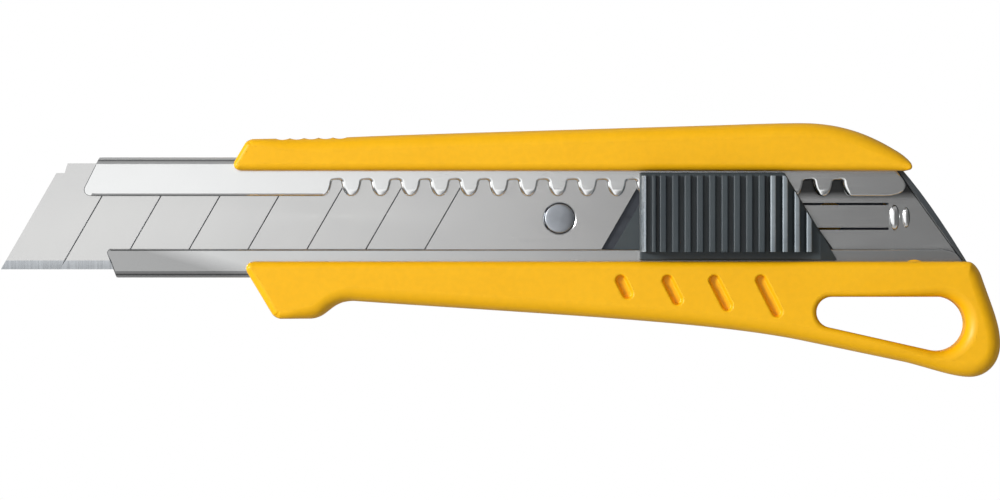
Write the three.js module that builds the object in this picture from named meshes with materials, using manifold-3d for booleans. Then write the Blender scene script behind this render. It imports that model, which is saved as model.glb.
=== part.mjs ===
// A snap-off utility knife: an 18 mm blade in a toothed steel channel, locked by a spring in its slider.
//
// Millimetres. The knife lies on its back: x runs from the blade's tip to the butt, y runs from the
// centreline of the channel towards the blade's spine, and z runs up from the back of the handle. The last
// lines move this drawing frame to the middle of the underside of the whole knife.
import * as THREE from "three";
import { mergeVertices } from "three/addons/utils/BufferGeometryUtils.js";
import Module from "manifold-3d";

const wasm = await Module();
wasm.setup();

// ---- Driving dimensions ----
const GAP = 0.1; // running clearance between neighbours
const CURVE_STEPS = 8; // segments in each arc or curve of an outline

const BLADE = { length: 100, half: 9, thick: 0.5, angle: Math.PI / 3, segment: 10, bevel: 1.5 };
const SCORE = { half: 0.12, depth: 0.14 };
const BLADE_RISE = 0.2; // the blade lies this far towards the channel's upper side
// The corner lost when the segment in front was snapped off.
const SPINE_STEP = { depth: 1.65, length: 1.4 };
const STUD = { x: 94.85, y: -0.15, r: 2.5 };

const SHEET = 0.8;
const CHANNEL = { half: 10.2, bottom: 3.8, top: 7.5, bend: 1.2 };
const LIP = { upper: 3.62, lower: -5.43 }; // free edges of the channel's two lips
const RACK = { first: 56.95, pitch: 5, notches: 18, root: 6.4, halfGap: 0.72, fillet: 0.3, flare: 1.3 };
const TONGUE = { from: 131, to: 150.8, middle: 0.2, half: 2.3, slit: 0.4 };
// Two ridges across the channel behind the tongue: place, length, width and height.
const STOP_RIDGES = [
  [151.7, 1.7, 4.3, 0.45],
  [153.8, 1.3, 3.5, 0.4],
];
const BUTT = { x: 154.1, y: 5.2, lean: 0.72 }; // the channel's sloping rear end passes through x, y

const HANDLE = { thick: 12, wall: 1.8, edge: 1 };
const GRIP = { upper: 7.9, lower: -7.47 }; // inner edges of the two grips, which lap over the channel
const MAGAZINE = { front: 45.5, half: 9.25, top: 3.7 };
const HANG_HOLE = { front: [140.9, -16.05, 2.6], rear: [158.9, -18.05, 4.6] }; // x, y, radius
const NIB = { x: 155, r: 2.6, reach: 0.3, top: 8.2 };
const SPARES = { x: 46, z: [1.95, 2.75] };

const PLATE = { from: 86, to: 129, half: 8.6, bottom: 4.7, top: 5.7 };
const BLADE_BOTTOM = PLATE.top + GAP;
const CORE = {
  bottom: PLATE.top + GAP,
  step: 6.6,
  top: 11.2,
  lower: -5.1,
  upper: 3.3,
  front: 110.6,
  rear: 132.8,
};
const RIVET = { x: [115.5, 126.5], y: -1.8, r: 0.9, head: 1.3 };
const SPRING = { x: RACK.first + 13 * RACK.pitch, bottom: 6.75, width: 2.2, thick: 0.4 };
const KNOB = { bottom: 7.6, ledge: 10.6, top: 15.5, front: 108.4, lower: -7.3, upper: 7.6, slope: 130.2 };
const RIBS = { pitch: 2.02, slopePitch: 2.15, groove: 0.9, depth: 0.7 };

const TRAVEL_BACK = 20; // from the drawn position until the blade is inside the channel

// ---- Materials ----
const material = (color, roughness, metalness) =>
  new THREE.MeshStandardMaterial({ color, roughness, metalness });
const yellowPlastic = material(0xf7bb27, 0.42, 0);
const darkPlastic = material(0x4d565b, 0.5, 0);
const blackPlastic = material(0x2e3336, 0.55, 0);
const channelSteel = material(0xc2c6c8, 0.3, 1);
const bladeSteel = material(0xcfd0d0, 0.35, 1);
const plainSteel = material(0x9aa0a6, 0.35, 1);

// ---- Solids ----
// A three.js geometry as a manifold-3d solid.
function solid(geometry) {
  const bare = geometry.index ? geometry.toNonIndexed() : geometry.clone();
  bare.deleteAttribute("normal");
  bare.deleteAttribute("uv");
  const merged = mergeVertices(bare, 1e-4);
  return new wasm.Manifold(
    new wasm.Mesh({
      numProp: 3,
      vertProperties: new Float32Array(merged.attributes.position.array),
      triVerts: new Uint32Array(merged.index.array),
    }),
  );
}

// A shape in x and y, raised from z0 to z1.
function prism(shape, z0, z1) {
  const options = { depth: z1 - z0, bevelEnabled: false, curveSegments: CURVE_STEPS };
  return solid(new THREE.ExtrudeGeometry(shape, options).translate(0, 0, z0));
}

// A shape drawn in y and z, drawn out from x0 to x1.
function bar(shape, x0, x1) {
  const options = { depth: x1 - x0, bevelEnabled: false, curveSegments: CURVE_STEPS };
  const turn = new THREE.Matrix4().makeBasis(
    new THREE.Vector3(0, 1, 0),
    new THREE.Vector3(0, 0, 1),
    new THREE.Vector3(1, 0, 0),
  );
  return solid(new THREE.ExtrudeGeometry(shape, options).applyMatrix4(turn).translate(x0, 0, 0));
}

// A prism whose long edges are rounded by the radius, inside the shape.
function softPrism(shape, z0, z1, radius) {
  const options = {
    depth: z1 - z0 - 2 * radius,
    bevelThickness: radius,
    bevelSize: radius,
    bevelOffset: -radius,
    bevelSegments: 3,
    curveSegments: CURVE_STEPS,
  };
  return solid(new THREE.ExtrudeGeometry(shape, options).translate(0, 0, z0 + radius));
}

// A box between two corners.
function block([x0, y0, z0], [x1, y1, z1]) {
  const box = new THREE.BoxGeometry(x1 - x0, y1 - y0, z1 - z0);
  return solid(box.translate((x0 + x1) / 2, (y0 + y1) / 2, (z0 + z1) / 2));
}

// A turned solid on a vertical axis at x, y. The profile is pairs of radius and z, from the axis back to it.
function turned(profile, x, y, sides = 32) {
  const points = profile.map(([r, z]) => new THREE.Vector2(r, z));
  return solid(new THREE.LatheGeometry(points, sides).rotateX(Math.PI / 2).translate(x, y, 0));
}

const polygon = (points) => new THREE.Shape(points.map(([x, y]) => new THREE.Vector2(x, y)));
const union = (solids) => solids.reduce((all, one) => all.add(one));

// A named mesh of the finished solid, for the tree of parts.
function mesh(name, body, look) {
  const made = body.getMesh();
  const geometry = new THREE.BufferGeometry();
  geometry.setAttribute("position", new THREE.BufferAttribute(new Float32Array(made.vertProperties), 3));
  geometry.setIndex(new THREE.BufferAttribute(new Uint32Array(made.triVerts), 1));
  geometry.computeVertexNormals();
  const piece = new THREE.Mesh(geometry, look);
  piece.name = name;
  return piece;
}

// ---- Lines that several pieces share ----
const bladeLean = 1 / Math.tan(BLADE.angle);
const tailX = (y) => BLADE.length + (y + BLADE.half) * bladeLean; // rear end of the blade
const buttX = (y) => BUTT.x - BUTT.lean * (y - BUTT.y); // rear end of the channel
const knobRearX = (y) => 132.9 + (KNOB.upper - y) * 0.604; // sloping rear end of the thumb slider

// ---- Blade ----
function bladeOutline() {
  const top = BLADE.half;
  const stepY = top - SPINE_STEP.depth;
  const stepX = (stepY + BLADE.half) * bladeLean;
  return polygon([
    [0, -BLADE.half],
    [tailX(-BLADE.half), -BLADE.half],
    [tailX(top), top],
    [stepX + SPINE_STEP.length + 0.5, top],
    [stepX + SPINE_STEP.length, stepY],
    [stepX, stepY],
  ]);
}

// The blade's cross-section: flat, with a bevel on each side of the cutting edge.
function bladeSection() {
  const middle = BLADE.thick / 2;
  const bevelY = -BLADE.half + BLADE.bevel;
  return polygon([
    [-BLADE.half, middle - 0.03],
    [bevelY, 0],
    [BLADE.half, 0],
    [BLADE.half, BLADE.thick],
    [bevelY, BLADE.thick],
    [-BLADE.half, middle + 0.03],
  ]);
}

// A V-shaped score across the blade, parallel to its slanting front end.
function scoreLine(x) {
  const groove = polygon([
    [-SCORE.half, 0.02],
    [0, -SCORE.depth],
    [SCORE.half, 0.02],
  ]);
  const along = new THREE.Vector3(Math.cos(BLADE.angle), Math.sin(BLADE.angle), 0);
  const across = new THREE.Vector3(-along.y, along.x, 0);
  const frame = new THREE.Matrix4().makeBasis(across, new THREE.Vector3(0, 0, 1), along);
  const start = along.clone().multiplyScalar(-2);
  frame.setPosition(start.x + x, start.y - BLADE.half, BLADE.thick);
  const length = (2 * BLADE.half) / along.y + 4;
  const cutter = new THREE.ExtrudeGeometry(groove, { depth: length, bevelEnabled: false });
  return solid(cutter.applyMatrix4(frame));
}

// A whole strip of segments, lying with its underside at z 0, with its hole at a given y.
function bladeStrip(holeY) {
  const blank = bar(bladeSection(), -1, BLADE.length + 12);
  const scores = [];
  for (let i = 1; i * BLADE.segment < BLADE.length - BLADE.segment * 2; i++)
    scores.push(scoreLine(i * BLADE.segment));
  const hole = turned([[0, -1], [STUD.r + 0.15, -1], [STUD.r + 0.15, 1], [0, 1]], STUD.x, holeY);
  return blank.intersect(prism(bladeOutline(), -1, 1)).subtract(union(scores)).subtract(hole);
}

function snapOffBlade() {
  const strip = bladeStrip(STUD.y - BLADE_RISE).translate([0, BLADE_RISE, BLADE_BOTTOM]);
  return mesh("snap_off_blade", strip, bladeSteel);
}

// A spare strip is turned over, so that its slanting tail follows the butt of the handle.
function spareBlade(name, z) {
  const turnedOver = bladeStrip(0).rotate([180, 0, 0]);
  return mesh(name, turnedOver.translate([SPARES.x, 0, z + BLADE.thick]), bladeSteel);
}

// ---- Channel ----
// Folded sheet: back, two sides and two lips, with rounded bends, drawn in y and z.
function channelSection() {
  const { half, bottom, top, bend } = CHANNEL;
  const inner = bend - SHEET;
  const s = new THREE.Shape();
  s.moveTo(LIP.upper, top);
  s.lineTo(LIP.upper, top - SHEET);
  s.lineTo(half - bend, top - SHEET);
  s.absarc(half - bend, top - bend, inner, Math.PI / 2, 0, true);
  s.absarc(half - bend, bottom + bend, inner, 0, -Math.PI / 2, true);
  s.lineTo(bend - half, bottom + SHEET);
  s.absarc(bend - half, bottom + bend, inner, -Math.PI / 2, -Math.PI, true);
  s.absarc(bend - half, top - bend, inner, Math.PI, Math.PI / 2, true);
  s.lineTo(LIP.lower, top - SHEET);
  s.lineTo(LIP.lower, top);
  s.absarc(bend - half, top - bend, bend, Math.PI / 2, Math.PI, false);
  s.absarc(bend - half, bottom + bend, bend, -Math.PI, -Math.PI / 2, false);
  s.absarc(half - bend, bottom + bend, bend, -Math.PI / 2, 0, false);
  s.absarc(half - bend, top - bend, bend, 0, Math.PI / 2, false);
  return s;
}

// What is left of the back and sides, seen from above.
function channelBack() {
  const over = CHANNEL.half + 1;
  return polygon([
    [17, over],
    [20, -over],
    [buttX(-over), -over],
    [buttX(over), over],
  ]);
}

// What is left of the lips: both slant at the front, and the upper one is rounded at the rear.
function channelLips() {
  const over = CHANNEL.half + 1;
  const s = new THREE.Shape();
  s.moveTo(17.3, over);
  s.lineTo(14.2, 5);
  s.quadraticCurveTo(13.8, LIP.upper, 15.3, LIP.upper);
  s.lineTo(15.3, 0);
  s.lineTo(17.9, LIP.lower);
  s.lineTo(20.1, -over);
  s.lineTo(buttX(-over), -over);
  s.lineTo(buttX(LIP.lower - 1), LIP.lower - 1);
  s.quadraticCurveTo(buttX(LIP.lower), LIP.lower, buttX(LIP.lower) - 2, LIP.lower);
  s.lineTo(149.8, 0);
  s.lineTo(149.8, LIP.upper);
  s.quadraticCurveTo(buttX(LIP.upper), LIP.upper, buttX(6.4), 6.4);
  s.lineTo(buttX(over), over);
  return s;
}

// One gap of the rack: narrow at its root, opening out round the tips of the teeth on each side.
function rackNotch(x) {
  const { pitch, root, halfGap, fillet, flare } = RACK;
  const half = pitch / 2;
  const low = LIP.upper;
  const s = new THREE.Shape();
  s.moveTo(x - half, low - 1);
  s.lineTo(x - half, low);
  s.bezierCurveTo(x - 1.35, low, x - 0.95, low + flare, x - halfGap - 0.08, root - fillet);
  s.quadraticCurveTo(x - halfGap, root, x - halfGap + fillet, root);
  s.lineTo(x + halfGap - fillet, root);
  s.quadraticCurveTo(x + halfGap, root, x + halfGap + 0.08, root - fillet);
  s.bezierCurveTo(x + 0.95, low + flare, x + 1.35, low, x + half, low);
  s.lineTo(x + half, low - 1);
  return prism(s, CHANNEL.top - SHEET - 0.2, CHANNEL.top + 1);
}

// Two long slits and a short one free a spring tongue in the channel's back.
function tongueSlits() {
  const { from, to, middle, half, slit } = TONGUE;
  const low = CHANNEL.bottom - 1;
  const high = CHANNEL.bottom + SHEET + 0.3;
  return union([
    block([from, middle + half - slit, low], [to, middle + half, high]),
    block([from, middle - half, low], [to, middle + slit - half, high]),
    block([from, middle - half, low], [from + slit, middle + half, high]),
  ]);
}

// The raised ridges behind the tongue, where the carriage stops.
function stopRidges() {
  const floor = CHANNEL.bottom + SHEET;
  const above = block([140, -5, floor - 0.2], [160, 5, floor + 2]);
  const ridges = STOP_RIDGES.map(([x, length, width, height]) => {
    const dome = new THREE.SphereGeometry(1, 24, 12).scale(length / 2, width / 2, height);
    return solid(dome.translate(x, 0, floor));
  });
  return union(ridges).intersect(above);
}

function bladeChannel() {
  const split = CHANNEL.top - SHEET - 0.4;
  const folded = bar(channelSection(), 5, 175);
  const back = folded.intersect(prism(channelBack(), 0, split));
  const lips = folded.intersect(prism(channelLips(), split, 20));
  const notches = [];
  for (let i = 0; i < RACK.notches; i++) notches.push(rackNotch(RACK.first + i * RACK.pitch));
  const body = back.add(lips).subtract(union(notches)).subtract(tongueSlits()).add(stopRidges());
  return mesh("blade_channel", body, channelSteel);
}

// ---- Handle ----
function handleOutline() {
  const s = new THREE.Shape();
  s.moveTo(40.6, 6); // upper grip, from its front corner over the top to the nose
  s.quadraticCurveTo(39, 8, 40.2, 10.2);
  s.lineTo(41.2, 12.2);
  s.quadraticCurveTo(42, 13.3, 44, 13.32);
  s.lineTo(59.3, 13.62);
  s.bezierCurveTo(68, 14, 80, 14.37, 118.7, 15.54);
  s.bezierCurveTo(126, 15.76, 131, 16, 135.7, 16);
  s.bezierCurveTo(141.6, 16, 146.8, 14.3, 152.3, 10.95);
  s.quadraticCurveTo(155.4, 9.2, 154, 7.2);
  s.lineTo(buttX(-5) + 0.6, -5); // back wall, below the butt cap
  s.quadraticCurveTo(164.6, -7, 166, -9.6); // lower grip, round the hanging loop
  s.lineTo(168.4, -15.2);
  s.bezierCurveTo(169.3, -18, 169.5, -19.6, 169.5, -21.6);
  s.bezierCurveTo(169.5, -24.8, 167.1, -27.2, 164.3, -27.2);
  s.bezierCurveTo(161.6, -27.2, 157.2, -25.5, 152.9, -24.55);
  s.lineTo(135.7, -20.8);
  s.bezierCurveTo(124, -18.7, 108, -17.1, 101.7, -16.85);
  s.lineTo(61.5, -14.4);
  s.bezierCurveTo(56.8, -14.1, 56.8, -17.15, 52, -17.15); // finger stop
  s.lineTo(48, -17.15);
  s.quadraticCurveTo(46.6, -17.15, 45.8, -15.8);
  s.lineTo(42.4, -10.2);
  s.quadraticCurveTo(41.3, -8.4, 41.6, -6);
  s.holes.push(hangHole());
  return s;
}

// The hanging hole: two round ends joined by straight sides.
function hangHole() {
  const [fx, fy, fr] = HANG_HOLE.front;
  const [rx, ry, rr] = HANG_HOLE.rear;
  const lean = Math.atan2(ry - fy, rx - fx);
  const spread = Math.asin((rr - fr) / Math.hypot(rx - fx, ry - fy));
  const upper = lean + Math.PI / 2 + spread;
  const lower = lean - Math.PI / 2 - spread;
  const hole = new THREE.Path();
  hole.absarc(fx, fy, fr, upper, lower + 2 * Math.PI, false);
  hole.absarc(rx, ry, rr, lower, upper, false);
  return hole;
}

// A slanting pill-shaped dent in a face of the lower grip. Each one along is longer than the last.
function gripDent(index, z0, z1) {
  const start = new THREE.Vector2(105.2 + 7.9 * index, -10.65);
  const lean = (63 * Math.PI) / 180;
  const run = new THREE.Vector2(Math.cos(lean), -Math.sin(lean)).multiplyScalar(2.5 + 1.15 * index);
  const end = start.clone().add(run);
  const s = new THREE.Shape();
  s.absarc(start.x, start.y, 0.9, Math.PI / 2 - lean, Math.PI * 1.5 - lean, false);
  s.absarc(end.x, end.y, 0.9, Math.PI * 1.5 - lean, Math.PI * 2.5 - lean, false);
  return prism(s, z0, z1);
}

// Shallow scallops along the top edge, for the tip of the forefinger.
function thumbScallop(index) {
  const x = 47.8 + 2.43 * index;
  const high = HANDLE.thick + 1;
  return turned([[0, -1], [1.9, -1], [1.9, high], [0, high]], x, 15.04 + 0.05 * index);
}

// A thin nib that laps over the edge of the channel. The thumb slider passes above it.
function holdDownNib() {
  const low = CHANNEL.top + 0.15;
  const profile = [[0, low], [NIB.r, low], [NIB.r, NIB.top], [0, NIB.top]];
  return turned(profile, NIB.x, GRIP.lower + NIB.reach - NIB.r, 48);
}

function handleBody() {
  const { thick, wall, edge } = HANDLE;
  const slotHalf = CHANNEL.half + 0.15;
  const cuts = [
    block([0, -slotHalf, MAGAZINE.top], [200, slotHalf, CHANNEL.top + 0.15]),
    block([0, GRIP.lower, CHANNEL.top], [200, GRIP.upper, thick + 1]),
    block([MAGAZINE.front, -MAGAZINE.half, wall], [200, MAGAZINE.half, MAGAZINE.top + 0.1]),
  ];
  for (let i = 0; i < 4; i++) {
    cuts.push(gripDent(i, thick - 0.7, thick + 1));
    cuts.push(gripDent(i, -1, 0.7));
  }
  for (let i = 0; i < 6; i++) cuts.push(thumbScallop(i));
  const body = softPrism(handleOutline(), 0, thick, edge).subtract(union(cuts)).add(holdDownNib());
  return mesh("handle_body", body, yellowPlastic);
}

// ---- Butt cap ----
// The curved end wall, and the tongue that plugs the magazine behind the spare blades.
function endCap() {
  const half = CHANNEL.half - 0.1;
  const inner = 0.15;
  const outline = new THREE.Shape();
  outline.moveTo(buttX(half) + inner, half);
  outline.lineTo(buttX(-half) + inner, -half);
  outline.lineTo(buttX(-half) + 0.38, -half);
  outline.quadraticCurveTo(buttX(4) + 2.2, 4, buttX(half) + 0.6, half);

  const low = HANDLE.wall + GAP;
  const shoulder = MAGAZINE.top + GAP;
  const plugHalf = MAGAZINE.half - 0.2;
  const room = union([
    block([0, -half - 1, shoulder], [200, half + 1, 10]),
    block([0, -plugHalf, 0], [200, plugHalf, shoulder + 1]),
  ]);
  const spareTailX = (y) => SPARES.x + BLADE.length + (BLADE.half - y) * bladeLean;
  const plug = polygon([
    [spareTailX(plugHalf) + 0.6, plugHalf],
    [spareTailX(-plugHalf) + 0.6, -plugHalf],
    [buttX(-plugHalf) + 0.3, -plugHalf],
    [buttX(plugHalf) + 0.3, plugHalf],
  ]);
  const wall = prism(outline, low, 7.3).intersect(room);
  return mesh("end_cap", wall.add(prism(plug, low, MAGAZINE.top - GAP)), blackPlastic);
}

// ---- Carriage ----
// Countersunk clearance for a shank through the holder plate.
function plateHole(x, y, r) {
  const { bottom, top } = PLATE;
  const profile = [[0, bottom - 1], [r + 0.65, bottom - 1], [r + 0.65, bottom], [r, bottom + 0.5]];
  return turned([...profile, [r, top + 1], [0, top + 1]], x, y, 24);
}

function holderPlate() {
  const { from, to, half, bottom, top } = PLATE;
  const s = new THREE.Shape();
  s.moveTo(from + 2, -half);
  s.lineTo(to, -half);
  s.lineTo(to, half);
  s.lineTo(from + 11, half);
  s.quadraticCurveTo(from + 8, half, from + 6, half - 3);
  s.lineTo(from, -half + 3);
  s.quadraticCurveTo(from - 0.5, -half, from + 2, -half);
  const holes = [plateHole(STUD.x, STUD.y, 1.5), ...RIVET.x.map((x) => plateHole(x, RIVET.y, RIVET.r + GAP))];
  return mesh("holder_plate", prism(s, bottom, top).subtract(union(holes)), plainSteel);
}

// The domed stud that the blade's hole hooks over, with a flared tail below the plate.
function bladeStud() {
  const low = PLATE.bottom + 0.03;
  const seat = PLATE.top + 0.03;
  const profile = [[0, low], [1.95, low], [1.4, low + 0.55], [1.4, seat], [STUD.r, seat]];
  const dome = [[STUD.r, 6.55], [2.3, 6.78], [1.6, 6.93], [0, 7]];
  return mesh("blade_stud", turned([...profile, ...dome], STUD.x, STUD.y, 40), plainSteel);
}

// The plastic heart of the slider: a step behind the blade's tail, and a cradle for the lock spring.
function sliderCore() {
  const { bottom, step, top, lower, upper, front, rear } = CORE;
  const half = PLATE.half + 0.1;
  const rearX = (y) => buttX(y) - TRAVEL_BACK - 0.4;
  const foot = polygon([
    [tailX(-half) + 1.9, -half],
    [rearX(-half), -half],
    [rearX(half), half],
    [tailX(half) + 1.9, half],
  ]);
  const body = union([
    prism(foot, bottom, step),
    block([front, lower, bottom], [front + 1.3, upper, top]),
    block([rear - 1.2, lower, bottom], [rear, upper, top]),
    block([front, lower, bottom], [rear, -3.3, top]),
    block([front, 1.9, 9.2], [rear, upper, top]),
  ]);
  const cuts = [
    block([front + 1.3, -3.9, 8.6], [rear - 1.2, -3.2, 9.8]),
    block([front + 1.3, 1.8, 9.7], [rear - 1.2, 2.4, 10.6]),
  ];
  const bore = RIVET.r + GAP;
  const through = [[0, 0], [bore, 0], [bore, step + 0.5], [0, step + 0.5]];
  for (const x of RIVET.x) cuts.push(turned(through, x, RIVET.y, 24));
  return mesh("slider_core", body.subtract(union(cuts)), darkPlastic);
}

function coreRivet(name, x) {
  const low = PLATE.bottom + 0.03;
  const seat = CORE.step + 0.03;
  const { r, head } = RIVET;
  const profile = [[0, low], [r + 0.5, low], [r, low + 0.45], [r, seat], [head, seat]];
  const dome = [[head, seat + 0.25], [0.8, seat + 0.6], [0, seat + 0.7]];
  return mesh(name, turned([...profile, ...dome], x, RIVET.y, 24), plainSteel);
}

// A strip of spring steel bent to a narrow nose, which stands in a gap of the rack.
function lockSpring() {
  const leg = [[-8.9, 0.75], [-9.15, 0.15], [-8.4, -0.25], [-4.8, 1], [-2.1, 2.3]];
  const half = [...leg, [-1, 3.3], [-0.58, 4.5], [-0.38, 5.5]];
  const other = half.map(([x, y]) => [-x, y]).reverse();
  const points = [...half, [0, 5.9], ...other].map(([x, y]) => new THREE.Vector3(SPRING.x + x, y, 0));
  const line = new THREE.CatmullRomCurve3(points).getPoints(72);
  const left = [];
  const right = [];
  line.forEach((p, i) => {
    const along = line[Math.min(i + 1, line.length - 1)].clone().sub(line[Math.max(i - 1, 0)]).normalize();
    const out = new THREE.Vector3(-along.y, along.x, 0).multiplyScalar(SPRING.thick / 2);
    left.push([p.x + out.x, p.y + out.y]);
    right.push([p.x - out.x, p.y - out.y]);
  });
  const strip = polygon([...right, ...left.reverse()]);
  return mesh("lock_spring", prism(strip, SPRING.bottom, SPRING.bottom + SPRING.width), plainSteel);
}

// ---- Thumb slider ----
// The side view of the slider, in x and z: raked front, flat top and a long slope at the rear.
function knobSide() {
  return [
    [KNOB.front, KNOB.bottom],
    [KNOB.front + 0.9, KNOB.top - 0.5],
    [KNOB.front + 1.5, KNOB.top],
    [KNOB.slope, KNOB.top],
    [142.4, 9.6],
    [142.4, KNOB.bottom],
  ];
}

// A shape drawn in x and z, drawn out from y0 to y1.
function slab(points, y0, y1) {
  const options = { depth: y1 - y0, bevelEnabled: false };
  const turn = new THREE.Matrix4().makeBasis(
    new THREE.Vector3(1, 0, 0),
    new THREE.Vector3(0, 0, 1),
    new THREE.Vector3(0, -1, 0),
  );
  return solid(new THREE.ExtrudeGeometry(polygon(points), options).applyMatrix4(turn).translate(0, y1, 0));
}

// Grooves across the thumb slider leave upright ribs, level on the flat and stepping down the slope.
function knobGrooves() {
  const cuts = [];
  const [y0, y1] = [-5.5, 6.9];
  const fall = (KNOB.top - 9.6) / (142.4 - KNOB.slope);
  for (let i = 0; i < 10; i++) {
    const x = KNOB.front + 2.9 + i * RIBS.pitch;
    cuts.push(block([x, y0, KNOB.top - RIBS.depth], [x + RIBS.groove, y1, KNOB.top + 1]));
  }
  for (let i = 0; i < 4; i++) {
    const x = KNOB.slope + 1.3 + i * RIBS.slopePitch;
    const z = KNOB.top - (x - KNOB.slope) * fall;
    const far = x + RIBS.groove + 0.2;
    cuts.push(slab([[x, z - RIBS.depth], [far, z - RIBS.depth - fall], [far, z + 3], [x, z + 3]], y0, y1));
  }
  return union(cuts);
}

// Two snap arms hang from the roof of the slider and hook into the grooves of the core.
function snapArms() {
  const roof = 12.5;
  return [117, 124].flatMap((x) => [
    block([x, -3.1, 8.2], [x + 3, -2.2, roof]),
    block([x, -3.7, 8.8], [x + 3, -3, 9.5]),
    block([x, 0.9, 9.4], [x + 3, 1.7, roof]),
    block([x, 1.6, 9.9], [x + 3, 2.2, 10.4]),
  ]);
}

// A pocket over the nose of the lock spring. Its slanting sides are the cams that push the nose out.
function camPocket() {
  const cams = polygon([
    [SPRING.x - 3.5, 3.9],
    [SPRING.x + 3.5, 3.9],
    [SPRING.x + 1.9, 6.5],
    [SPRING.x - 1.9, 6.5],
  ]);
  return prism(cams, 0, SPRING.bottom + SPRING.width + 0.4);
}

function thumbSlider() {
  const { bottom, ledge, front, lower, upper, top } = KNOB;
  const plan = (y0, y1, inset) =>
    polygon([
      [front, y0],
      [knobRearX(y0) - inset, y0],
      [knobRearX(y1) - inset, y1],
      [front, y1],
    ]);
  const side = knobSide();
  const foot = slab(side, lower, upper).intersect(prism(plan(lower, upper, 0), bottom, ledge));
  const grip = slab(side, -6, 7.4).intersect(prism(plan(-6, 7.4, 0.3), bottom, top));
  const hollows = [
    block([front + 1.3, -5.6, 0], [CORE.rear + 0.9, 4, 12.2]),
    block([front - 1, lower - 1, 0], [150, -6.9, NIB.top + 0.3]),
    camPocket(),
  ];
  const shell = foot.add(grip).subtract(knobGrooves()).subtract(union(hollows));
  return mesh("thumb_slider", shell.add(union(snapArms())), darkPlastic);
}

// ---- The knife ----
const knife = new THREE.Group();
knife.add(handleBody(), bladeChannel(), endCap());
SPARES.z.forEach((z, i) => knife.add(spareBlade(`spare_blade_${i + 1}`, z)));
knife.add(snapOffBlade(), holderPlate(), bladeStud(), sliderCore(), lockSpring(), thumbSlider());
RIVET.x.forEach((x, i) => knife.add(coreRivet(["core_rivet_front", "core_rivet_rear"][i], x)));

const extent = new THREE.Box3().setFromObject(knife);
const middle = extent.getCenter(new THREE.Vector3());
knife.position.set(-middle.x, -middle.y, -extent.min.z);

export default knife;
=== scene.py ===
"""Looks of a snap-off utility knife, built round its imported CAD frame.

The knife lies on its back on a pale floor. Shapes are drawn in millimetres: x runs from the blade's tip to
the butt, y from the channel's centreline towards the blade's spine, and z up from the handle's back. The
function called at turns a drawn point into the frame's metres.
"""

import logging
import math
from dataclasses import dataclass, field
from enum import Enum
from typing import Callable, Iterable, Sequence

import bpy
from mathutils import Matrix, Vector


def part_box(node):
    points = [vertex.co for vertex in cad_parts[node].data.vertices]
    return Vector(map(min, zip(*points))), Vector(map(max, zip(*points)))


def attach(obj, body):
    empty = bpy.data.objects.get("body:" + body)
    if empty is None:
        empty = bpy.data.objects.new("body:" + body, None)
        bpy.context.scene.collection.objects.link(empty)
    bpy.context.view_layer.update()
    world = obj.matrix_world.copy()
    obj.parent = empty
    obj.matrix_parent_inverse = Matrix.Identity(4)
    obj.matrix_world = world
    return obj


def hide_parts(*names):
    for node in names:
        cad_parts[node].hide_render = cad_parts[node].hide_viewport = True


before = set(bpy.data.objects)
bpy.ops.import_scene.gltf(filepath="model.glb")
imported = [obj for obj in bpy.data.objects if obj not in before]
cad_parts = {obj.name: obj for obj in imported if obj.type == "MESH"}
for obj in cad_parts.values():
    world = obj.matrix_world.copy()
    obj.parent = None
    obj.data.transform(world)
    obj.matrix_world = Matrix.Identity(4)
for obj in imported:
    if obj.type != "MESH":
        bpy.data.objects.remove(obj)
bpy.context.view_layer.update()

log = logging.getLogger("knife")
Point = tuple[float, float]
Triple = tuple[float, float, float]
Tone = tuple[int, int, int]  # a display colour of 0 to 255
Colour = tuple[float, float, float, float]  # linear light and opacity
Radius = Callable[[float, float], float]  # an edge radius at a drawn point
Piece = bpy.types.Object
Material = bpy.types.Material
Socket = bpy.types.NodeSocket

MM = 0.001
MERGE = 2e-6  # vertices closer than this are one, in metres
FLAT = math.radians(0.3)  # faces that bend less than this are merged
CORNER_PULL = 0.56  # how far a bend's control points lie towards its corner
FILLET_SHARE = 0.8  # a fillet takes up to this share of its corner's own radius
SMOOTH_PASSES = 6  # how often neighbouring fillet radii are averaged
FINE = 96  # sides of a round piece that is seen close


class Operation(Enum):
    """What a boolean modifier does with its tool."""

    CUT = "DIFFERENCE"
    JOIN = "UNION"
    KEEP = "INTERSECT"


class Body(Enum):
    """The CAD bodies that pieces ride on."""

    HANDLE = "handle"
    CAP = "cap"
    CARRIAGE = "carriage"
    KNOB = "knob"


class Slot(Enum):
    """The record's material slots."""

    YELLOW = "yellow_plastic"
    DARK = "dark_plastic"
    BLACK = "black_plastic"
    CHANNEL = "channel_steel"
    BLADE = "blade_steel"
    PLAIN = "plain_steel"


# ---- Drawing ----


def drawing_origin() -> Vector:
    """Finds the drawing's zero point.

    Returns:
        The blade's tip in x, the channel's centreline in y and the handle's back in z, in metres.
    """
    lower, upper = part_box("blade_channel")
    tip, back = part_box("snap_off_blade")[0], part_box("handle_body")[0]
    return Vector((tip.x, (lower.y + upper.y) / 2, back.z))


ORIGIN = drawing_origin()


def at(x: float, y: float, z: float) -> Vector:
    """Returns the frame's point, in metres, for a drawn point in millimetres."""
    return ORIGIN + Vector((x, y, z)) * MM


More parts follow.
